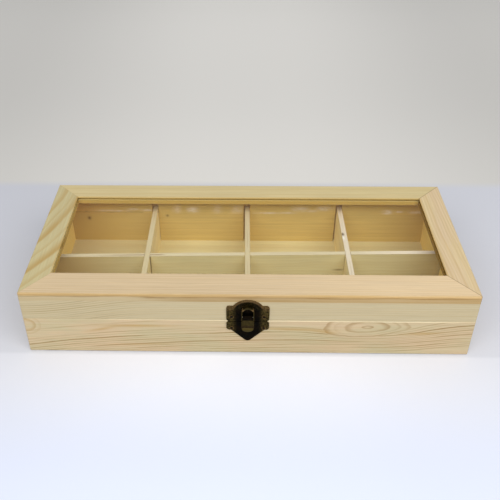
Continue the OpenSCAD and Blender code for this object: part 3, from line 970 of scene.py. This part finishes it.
def long_divider_marks(finish, colour):
    """Faces with painted shade towards the ends and beside the left lap, a top with painted light
    towards the right end, and a split in the top.
    """
    x = finish.x
    off_middle = finish.y - LONG_DIVIDER_Y - x * LONG_DIVIDER_SLOPE
    colour = painted_end_shade(finish, colour, tone("c5a566"), 0.8)
    slash = hill((x - 73) / 4, (finish.z - 22.6) / 0.8) * 0.7
    # Painted shade beside the left cross divider, where the lap leaves play
    painted_gap_shade = x.rise(LAP_X - 0.2, LAP_X + 0.1) * x.rise(LAP_X + 1.1, LAP_X + 0.7)
    front = off_middle.rise(0.1 - DIVIDER_HALF_T, -DIVIDER_HALF_T)
    colour = blend(larger(slash, painted_gap_shade * front * 0.8), colour, tone("7a5a24"))
    # Painted light: the top's cream grows paler towards the right end
    cream = blend(x.rise(70, 140), tone("e4d5b0"), tone("fff0d8"))
    colour = ply_edge(finish, colour, off_middle, x, 4.4, cream)
    top = divider_top(finish)
    split = abs(off_middle + 0.2).rise(0.75, 0.25) * x.rise(-63, -70) * x.rise(-140, -84)
    return blend(split * top * 0.8, colour, tone("8a6238"))


def cross_divider_marks(middle, seed):
    """Marks for a cross divider whose middle lies at this x."""

    def marks(finish, colour):
        return ply_edge(finish, colour, finish.x - middle, finish.y, seed, tone("dccba2"))

    return marks


def right_divider_marks(middle, seed):
    """Marks for the right divider: a paler top, with a dark speck and a white one."""

    def marks(finish, colour):
        x, y = finish.x, finish.y
        colour = ply_edge(finish, colour, x - middle, y, seed, tone("eedfc6"))
        top = divider_top(finish)
        spot = hill(x - middle + 1.2, (y - 21.5) / 2.6) * 0.8
        colour = blend(spot * top, colour, tone("fffaf0"))
        speck = hill((x - middle + 1.2) / 1.1, (y - 26.4) / 1.9)
        return blend(speck * top, colour, tone("4e3818"))

    return marks


def bottom_marks(finish, colour):
    """Bottom with painted shade that deepens towards the ends of the box."""
    return painted_end_shade(finish, colour, tone("cdb886"), 0.9)


class TEABOX_OT_plywood(bpy.types.Operator):
    """Gives the bottom and the dividers their plywood"""

    bl_idname = "teabox.plywood"
    bl_label = "Plywood"

    def execute(self, context):
        wood = wood_settings()
        colours = (wood.veneer, wood.veneer, wood.late)
        # The cross dividers' faces take the paler tone, painted as light
        faces = (wood.divider_face_painted_light, wood.divider_face_painted_light, wood.late)
        veneer = {
            "wander": 2.6,
            "bold_spacing": 12,
            "bold": 0.16,
            "fine_spacing": 3.2,
            "fine": 0.12,
            "fibre": 0.08,
            "relief": 0.03,
        }
        board(
            "base_bottom_panel",
            "x flat",
            colours,
            marks=bottom_marks,
            pith_deep=30,
            seed=13.1,
            **veneer,
        )
        board(
            "long_divider",
            "x standing",
            colours,
            marks=long_divider_marks,
            seed=14.6,
            **veneer,
        )
        for node, seed, marks in (
            ("cross_divider_left", 15.2, cross_divider_marks),
            ("cross_divider_centre", 16.9, cross_divider_marks),
            ("cross_divider_right", 17.5, right_divider_marks),
        ):
            middle = sum(corner.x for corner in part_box(node)) / 2 / MM
            board(node, "y standing", faces, marks=marks(middle, seed), seed=seed, **veneer)
        return {"FINISHED"}


# Metal and pane


class MetalAndGlass(bpy.types.PropertyGroup):
    """Finish of the latch, the hinges, the nails and the pane."""

    patina: FloatVectorProperty(
        name="Patina",
        description="Dark ground of the antique bronze",
        subtype="COLOR",
        default=tone("080603"),
    )
    rubbed: FloatVectorProperty(
        name="Rubbed",
        description="Brassy colour where the bronze is rubbed on its high parts",
        subtype="COLOR",
        default=tone("4f4218"),
    )
    # Polished also serves as the painted highlight on the latch hood's crown
    polished: FloatVectorProperty(
        name="Polished",
        description="Paler tan of the edges that are rubbed most",
        subtype="COLOR",
        default=tone("6e5532"),
    )
    steel: FloatVectorProperty(
        name="Steel",
        description="Dull steel of the pins and brads",
        subtype="COLOR",
        default=tone("77736c"),
    )
    haze: FloatProperty(
        name="Haze",
        description="Share of light that dust on the pane scatters",
        default=0.004,
        min=0,
        max=1,
        subtype="FACTOR",
    )


# Which cut of the noise the hinges and the latch show
HINGE_SEED, LATCH_SEED = 5, 2

# Places on the latch, in millimetres from its middle and from the parting line
ARCH_CENTRE = 6.8
NAIL_X = 11.6
UPPER_NAIL, LOWER_NAIL = 4.3, -6.4


def hinge_bronze():
    """Antique bronze, rubbed bright where it stands proud of the wood."""
    metal = metal_settings()
    finish = Finish("hinge_bronze")
    x, y, z = finish.x, finish.y, finish.z
    out = y - BACK_Y
    pebble = noise(x * 1.6, y * 1.6 + HINGE_SEED, z * 1.6, detail=3, roughness=0.6)
    cloud = noise(x / 5, y / 5, z / 5 + HINGE_SEED, detail=2)
    worn = out.rise(0.75, 3.9) * 0.8 + cloud.rise(0.45, 0.75) * 0.3
    rub = worn * pebble.rise(0.3, 0.7)
    finish.set("Base Color", blend(rub.clamped(), metal.patina[:], metal.rubbed[:]))
    finish.set("Metallic", 0.75)
    finish.set("Roughness", pebble * 0.3 + 0.32)
    finish.relief(pebble, 0.12)
    return finish


def latch_bronze():
    """Antique bronze: black in its hollows and round the hood as patina and painted shade, brass
    where it is rubbed, tan on its high rims, and painted highlights on the hood.
    """
    metal = metal_settings()
    finish = Finish("latch_bronze")
    x, y, z = finish.x, finish.y, finish.z
    up, out, side = z - PARTING_Z, FRONT_Y - y, abs(x)
    pebble = noise(x * 0.75, y * 0.75 + LATCH_SEED, z * 0.75, detail=3, roughness=0.65)
    cloud = noise(x / 4, y / 4, z / 4 + LATCH_SEED, detail=2)
    grain = pebble.rise(0.34, 0.64)

    # Parts of the latch: nails and their rings, arched rim, hood and the painted highlight on its
    # crown, tongue
    nail = smaller(
        distance(side - NAIL_X, up - UPPER_NAIL), distance(side - NAIL_X, up - LOWER_NAIL)
    )
    ring = nail.rise(0.95, 1.15) * nail.rise(1.9, 1.6)
    head = nail.rise(1.15, 0.85)
    rim = distance(x, up - ARCH_CENTRE).rise(10.6, 11.8) * up.rise(8, 13)
    hood = out.rise(1.2, 1.8) * up.rise(2.6, 3.2)
    tongue = out.rise(1.6, 2.2) * up.rise(3.2, 2.6)
    crown_highlight = hood * up.rise(11.6, 12.2) * up.rise(13.8, 13.0) * side.rise(4.8, 3.8)
    lip = tongue * up.rise(-3.9, -4.6)
    band = tongue * hill((up + 3.2) / 0.8)

    # How far each part is rubbed to brass, and then to tan. The hood's front face and crown take
    # them as painted highlights, and the plate between the ears stays dark as patina and painted
    # shade
    ears = side.rise(7.4, 12) * (grain * 0.95 + 0.02)
    arch_field = up.rise(9, 13) * grain * 0.22
    # Painted highlight: the hood's front face takes some brass
    flat = tongue * (0.36 + grain * 0.2) + hood * out.rise(3.3, 3.7) * 0.4
    brass = larger(larger(ears, arch_field), larger(flat, lip * 0.75))
    tan = larger(rim * (grain * 0.4 + 0.35), crown_highlight * 0.9)
    tan = larger(tan, ring * (grain * 0.4 + 0.2))
    shade = blend(cloud.rise(0.42, 0.58), tone("120b04"), metal.patina[:])
    colour = blend((brass * (1 - head)).clamped(), shade, metal.rubbed[:])
    # Tan: rubbed rims and rings, and the painted highlight on the hood's crown
    colour = blend(tan.clamped(), colour, metal.polished[:])
    colour = blend((band * 0.75).clamped(), colour, tone("23130a"))
    finish.set("Base Color", colour)
    finish.set("Metallic", 0.25)
    finish.set("Roughness", pebble * 0.3 + 0.3)
    finish.set("Specular IOR Level", larger(brass, tan).clamped() * 0.12 + 0.02)
    finish.relief(pebble, 0.12)
    return finish


def steel(name):
    """Dull steel wire with fine drawing marks."""
    metal = metal_settings()
    finish = Finish(name)
    x, y, z = finish.x, finish.y, finish.z
    marks = noise(x * 0.6, y * 5, z * 5, detail=2)
    finish.set("Base Color", dimmed(metal.steel[:], marks * 0.5 + 0.75))
    finish.set("Metallic", 0.9)
    finish.set("Roughness", marks * 0.25 + 0.3)
    finish.relief(marks, 0.02)
    return finish


class TEABOX_OT_latch(bpy.types.Operator):
    """Gives the latch's plates, tongue and nails their bronze and its pin its steel"""

    bl_idname = "teabox.latch"
    bl_label = "Latch"

    def execute(self, context):
        latch_bronze().dress(
            "latch_upper_plate",
            "latch_lower_plate",
            "latch_tongue",
            "latch_upper_nails",
            "latch_lower_nails",
        )
        steel("latch_pin_steel").dress("latch_pin")
        return {"FINISHED"}


class TEABOX_OT_hinges(bpy.types.Operator):
    """Gives the hinge leaves and nails their bronze, and the pins and brads their steel"""

    bl_idname = "teabox.hinges"
    bl_label = "Hinges and brads"

    def execute(self, context):
        hinge_bronze().dress(
            "hinge_base_leaf_left",
            "hinge_base_leaf_right",
            "hinge_lid_leaf_left",
            "hinge_lid_leaf_right",
            "hinge_base_nails",
            "hinge_lid_nails",
        )
        steel("wire_steel").dress("hinge_pin_left", "hinge_pin_right", "bottom_brads")
        return {"FINISHED"}


# Light that passes through the pane, and the share that it mirrors when seen straight on
PANE_TINT = (0.99, 0.995, 0.985)
PANE_GLEAM = 0.005


class TEABOX_OT_pane(bpy.types.Operator):
    """Makes the window clear, with a faint green tint and a little dust"""

    bl_idname = "teabox.pane"
    bl_label = "Window pane"

    def execute(self, context):
        metal = metal_settings()
        finish = Finish("clear_pane")
        tree = finish.tree
        dust = noise(finish.x / 40, finish.y / 40, 0.0, detail=4, roughness=0.6)
        speck = noise(finish.x * 0.9, finish.y * 0.9, 1.0, detail=2).rise(0.68, 0.75)
        finish.set("Base Color", tone("eef2ee"))
        finish.set("Roughness", 0.5)
        clear = tree.nodes.new("ShaderNodeBsdfTransparent")
        clear.inputs["Color"].default_value = (*PANE_TINT, 1)
        gloss = tree.nodes.new("ShaderNodeBsdfGlossy")
        gloss.inputs["Roughness"].default_value = 0.03
        slant = tree.nodes.new("ShaderNodeLayerWeight")
        slant.inputs["Blend"].default_value = 0.5
        facing = Field(tree, slant.outputs["Facing"])
        polished = tree.nodes.new("ShaderNodeMixShader")
        gleam = calc(tree, "POWER", facing, 5) * 0.7 + PANE_GLEAM
        feed(tree, polished.inputs[0], gleam)
        tree.links.new(clear.outputs[0], polished.inputs[1])
        tree.links.new(gloss.outputs[0], polished.inputs[2])
        dusty = tree.nodes.new("ShaderNodeMixShader")
        feed(tree, dusty.inputs[0], (dust * metal.haze + speck * 0.03).clamped())
        tree.links.new(polished.outputs[0], dusty.inputs[1])
        tree.links.new(finish.shader.outputs[0], dusty.inputs[2])
        tree.links.new(dusty.outputs[0], finish.out.inputs["Surface"])
        finish.dress("window_pane")
        return {"FINISHED"}


# Stage


class StageSettings(bpy.types.PropertyGroup):
    """Camera, lamp and table."""

    camera_place: FloatVectorProperty(
        name="Camera place",
        description="Where the camera stands, from the middle of the box's underside",
        subtype="TRANSLATION",
        unit="LENGTH",
        default=(-0.00474, -0.44856, 0.37676),
    )
    camera_turn: FloatVectorProperty(
        name="Camera turn",
        description="How the camera is turned",
        subtype="EULER",
        unit="ROTATION",
        default=tuple(math.radians(a) for a in (53.178, 0.488, 1.3)),
    )
    lens: FloatProperty(
        name="Lens",
        description="Focal length on a 36 mm sensor",
        default=50.975,
        min=10,
        unit="CAMERA",
    )
    shift: FloatProperty(
        name="Shift",
        description="How far the photograph was cut off centre, as a share of its width",
        default=0.0498,
    )
    table: FloatVectorProperty(
        name="Table",
        description="Colour of the table top",
        subtype="COLOR",
        default=tone("cccdd4"),
    )
    wall: FloatVectorProperty(
        name="Wall tone",
        description="Grey that the table turns to behind the box",
        subtype="COLOR",
        default=tone("dedbd5"),
    )
    key_power: FloatProperty(
        name="Key lamp",
        description="Power of the large soft lamp above the camera",
        default=24.8,
        min=0,
        unit="POWER",
    )
    fill_strength: FloatProperty(
        name="Sky",
        description="Strength of the even light from all round",
        default=0.45,
        min=0,
    )


# Stage sizes and places, in metres, and the camera's sensor in millimetres
TABLE_HALF = 3.0
TABLE_TOP_Z = -0.0003
KEY_PLACE = (0.1, -0.9, 1.25)
KEY_SIZE = (2.8, 0.9)
CLIP_START = 0.01
SENSOR_WIDTH = 36


def add_camera(stage):
    """Camera at the photograph's viewing angle."""
    lens = bpy.data.cameras.new("camera")
    lens.lens = stage.lens
    lens.sensor_width = SENSOR_WIDTH
    lens.shift_x = stage.shift
    lens.clip_start = CLIP_START
    camera = bpy.data.objects.new("camera", lens)
    camera.location = stage.camera_place
    camera.rotation_euler = stage.camera_turn
    bpy.context.scene.collection.objects.link(camera)
    bpy.context.scene.camera = camera


def add_key_lamp(power):
    """Large soft panel lamp above the camera, aimed at the box."""
    panel = bpy.data.lights.new("key_lamp", "AREA")
    panel.shape = "RECTANGLE"
    panel.size, panel.size_y = KEY_SIZE
    panel.energy = power
    lamp = bpy.data.objects.new("key_lamp", panel)
    lamp.location = KEY_PLACE
    lamp.rotation_euler = (-Vector(KEY_PLACE)).to_track_quat("-Z", "Y").to_euler()
    bpy.context.scene.collection.objects.link(lamp)


def seen_directly(tree):
    """1 for rays from the camera, a mirror or clear glass, and 0 for rays that light the box."""
    path = tree.nodes.new("ShaderNodeLightPath")
    camera, gloss, through = (
        Field(tree, path.outputs[name])
        for name in ("Is Camera Ray", "Is Glossy Ray", "Is Transmission Ray")
    )
    return larger(larger(camera, gloss), through)


def add_sky(strength):
    """Even light from all round, shown as a plain pale ground."""
    world = bpy.data.worlds.new("even_light")
    bpy.context.scene.world = world
    world.use_nodes = True
    tree = world.node_tree
    tree.nodes.clear()
    lighting = tree.nodes.new("ShaderNodeBackground")
    lighting.inputs["Color"].default_value = (0.95, 0.97, 1, 1)
    lighting.inputs["Strength"].default_value = strength
    shown = tree.nodes.new("ShaderNodeBackground")
    shown.inputs["Color"].default_value = (*tone("dcdde0"), 1)
    mix = tree.nodes.new("ShaderNodeMixShader")
    out = tree.nodes.new("ShaderNodeOutputWorld")
    feed(tree, mix.inputs[0], seen_directly(tree))
    tree.links.new(lighting.outputs[0], mix.inputs[1])
    tree.links.new(shown.outputs[0], mix.inputs[2])
    tree.links.new(mix.outputs[0], out.inputs["Surface"])


def add_table(stage):
    """Wide plain table. It is lit like the box, and shows a little lighter than it is."""
    mesh = bpy.data.meshes.new("table")
    corners = [
        (x * TABLE_HALF, y * TABLE_HALF, TABLE_TOP_Z)
        for x, y in ((-1, -1), (1, -1), (1, 1), (-1, 1))
    ]
    mesh.from_pydata(corners, [], [(0, 1, 2, 3)])
    table = bpy.data.objects.new("table", mesh)
    bpy.context.scene.collection.objects.link(table)
    finish = Finish("table_top")
    tree = finish.tree
    x, y = finish.x, finish.y
    ahead = y * -1

    # The table's colour, with painted light towards the right, and the wall's from a little behind
    # the box, with painted light that fades towards the sides and grows further back
    lit = (1.07 - abs(x).rise(40, 330) * 0.2) * (y.rise(300, 700) * 0.14 + 1)
    top = dimmed(stage.table[:], x.rise(100, 240) * 0.07 + 1)
    colour = blend(y.rise(158, 174), top, dimmed(stage.wall[:], lit))

    # Glow in front of the box and close to it, seen directly but lighting nothing
    near = ahead.rise(-60, 260) * hill(x / 420)
    bounce = ahead.rise(73, 77) * (1 - ahead.rise(80, 180) * 0.9) * hill(x / 170)
    tint = blend(ahead.rise(75, 190), (1, 1, 1.03), (0.8, 1, 1.5))
    finish.set("Base Color", colour)
    finish.set("Roughness", 0.7)
    glow = tree.nodes.new("ShaderNodeEmission")
    feed(tree, glow.inputs["Color"], tint)
    feed(tree, glow.inputs["Strength"], seen_directly(tree) * (near * 0.26 + bounce * 0.2))
    both = tree.nodes.new("ShaderNodeAddShader")
    tree.links.new(finish.shader.outputs[0], both.inputs[0])
    tree.links.new(glow.outputs[0], both.inputs[1])
    tree.links.new(both.outputs[0], finish.out.inputs["Surface"])
    mesh.materials.append(finish.material)


class TEABOX_OT_stage(bpy.types.Operator):
    """Sets the camera, the table, the sky and the key lamp"""

    bl_idname = "teabox.stage"
    bl_label = "Stage"

    def execute(self, context):
        stage = context.scene.tea_box_stage
        add_camera(stage)
        add_table(stage)
        add_sky(stage.fill_strength)
        add_key_lamp(stage.key_power)
        context.scene.view_settings.view_transform = "Standard"
        return {"FINISHED"}


# Panel and start


class TEABOX_PT_panel(bpy.types.Panel):
    """Lists the steps that dress the tea box"""

    bl_idname = "TEABOX_PT_panel"
    bl_label = "Tea Box"
    bl_space_type = "VIEW_3D"
    bl_region_type = "UI"
    bl_category = "Tea Box"

    def draw(self, context):
        for step in STEPS:
            self.layout.operator(step.bl_idname)
        for name in GROUPS:
            box = self.layout.box()
            group = getattr(context.scene, name)
            for prop in group.bl_rna.properties:
                if not prop.is_readonly and prop.identifier != "name":
                    box.prop(group, prop.identifier)


STEPS = (
    TEABOX_OT_base_boards,
    TEABOX_OT_lid_boards,
    TEABOX_OT_window_frame,
    TEABOX_OT_plywood,
    TEABOX_OT_latch,
    TEABOX_OT_hinges,
    TEABOX_OT_pane,
    TEABOX_OT_stage,
)
GROUPS = {
    "tea_box_wood": WoodTones,
    "tea_box_metal": MetalAndGlass,
    "tea_box_stage": StageSettings,
}


def register():
    """Adds the settings, operators and panel."""
    for cls in (*GROUPS.values(), *STEPS, TEABOX_PT_panel):
        bpy.utils.register_class(cls)
    for name, group in GROUPS.items():
        setattr(bpy.types.Scene, name, PointerProperty(type=group))


def unregister():
    """Takes them away again, in reverse order."""
    for name in GROUPS:
        delattr(bpy.types.Scene, name)
    for cls in reversed((*GROUPS.values(), *STEPS, TEABOX_PT_panel)):
        bpy.utils.unregister_class(cls)


def main():
    """Dresses the box step by step."""
    register()
    for step in STEPS:
        group, name = step.bl_idname.split(".")
        getattr(getattr(bpy.ops, group), name)()


if __name__ == "__main__":
    main()
